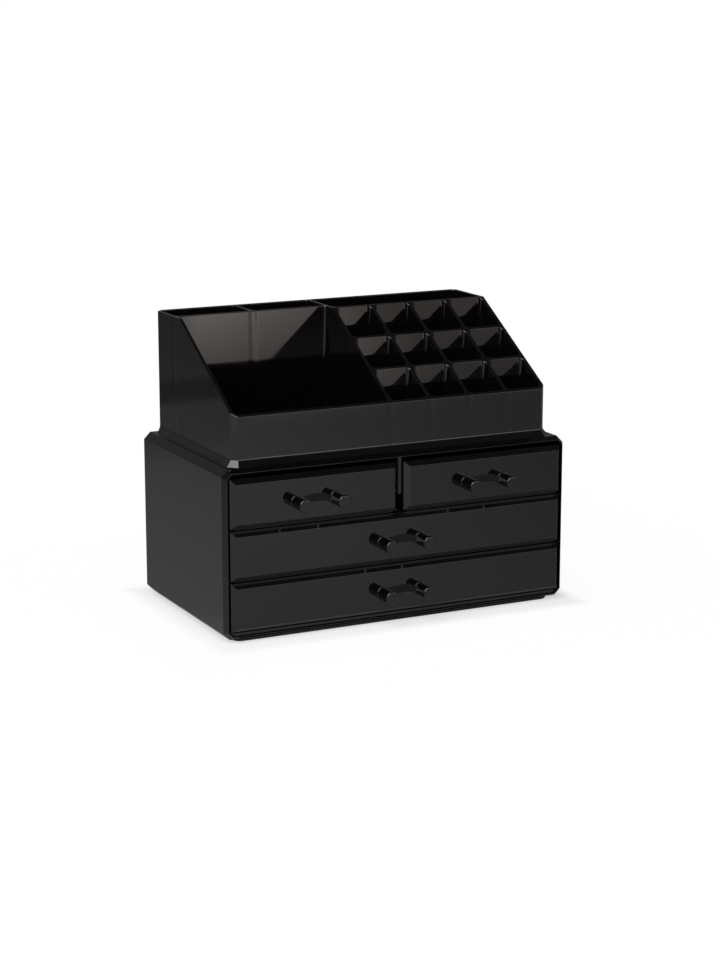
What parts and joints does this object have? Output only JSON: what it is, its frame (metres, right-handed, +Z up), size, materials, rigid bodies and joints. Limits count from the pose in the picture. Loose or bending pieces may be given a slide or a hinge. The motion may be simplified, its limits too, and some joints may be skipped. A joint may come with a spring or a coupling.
{
  "type": "makeup organizer",
  "caption": "Glossy black vanity organizer: a bevelled case with pull-out drawers, and a sloped tray of compartments and lipstick slots that lifts off the top",
  "frame": {"origin": "On the floor, under the middle of the case's plinth.", "axes": "+X to the right as seen from the front, +Y to the back, so drawers pull out to -Y, +Z up."},
  "size_m": [0.24, 0.148, 0.1886],
  "materials": {
    "black_case_plastic": "moulded, polished",
    "black_drawer_plastic": "moulded, polished",
    "smoke_black_tray_plastic": "moulded, polished",
    "steel_screws": "zinc plated"
  },
  "bodies": {
    "case": {"case_shell": "black_case_plastic", "case_back_panel": "black_case_plastic", "lower_shelf": "black_case_plastic", "upper_shelf": "black_case_plastic", "drawer_divider": "black_case_plastic", "base_plinth": "black_case_plastic"},
    "upper_left_drawer": {"upper_left_drawer_box": "black_drawer_plastic", "upper_left_drawer_front": "black_drawer_plastic", "upper_left_handle": "black_drawer_plastic", "upper_left_handle_screws": "steel_screws"},
    "upper_right_drawer": {"upper_right_drawer_box": "black_drawer_plastic", "upper_right_drawer_front": "black_drawer_plastic", "upper_right_handle": "black_drawer_plastic", "upper_right_handle_screws": "steel_screws"},
    "middle_drawer": {"middle_drawer_box": "black_drawer_plastic", "middle_drawer_front": "black_drawer_plastic", "middle_handle": "black_drawer_plastic", "middle_handle_screws": "steel_screws"},
    "bottom_drawer": {"bottom_drawer_box": "black_drawer_plastic", "bottom_drawer_front": "black_drawer_plastic", "bottom_handle": "black_drawer_plastic", "bottom_handle_screws": "steel_screws"},
    "tray": {"top_tray": "smoke_black_tray_plastic"}
  },
  "joints": [
    {"name": "upper_left_drawer_slide", "type": "slide", "parent": "case", "child": "upper_left_drawer", "axis": [0, -1, 0], "range_m": [0, 0.095]},
    {"name": "upper_right_drawer_slide", "type": "slide", "parent": "case", "child": "upper_right_drawer", "axis": [0, -1, 0], "range_m": [0, 0.095]},
    {"name": "middle_drawer_slide", "type": "slide", "parent": "case", "child": "middle_drawer", "axis": [0, -1, 0], "range_m": [0, 0.095]},
    {"name": "bottom_drawer_slide", "type": "slide", "parent": "case", "child": "bottom_drawer", "axis": [0, -1, 0], "range_m": [0, 0.095]},
    {"name": "tray_lift_off", "type": "slide", "parent": "case", "child": "tray", "axis": [0, 0, 1], "range_m": [0, 0.06]}
  ]
}
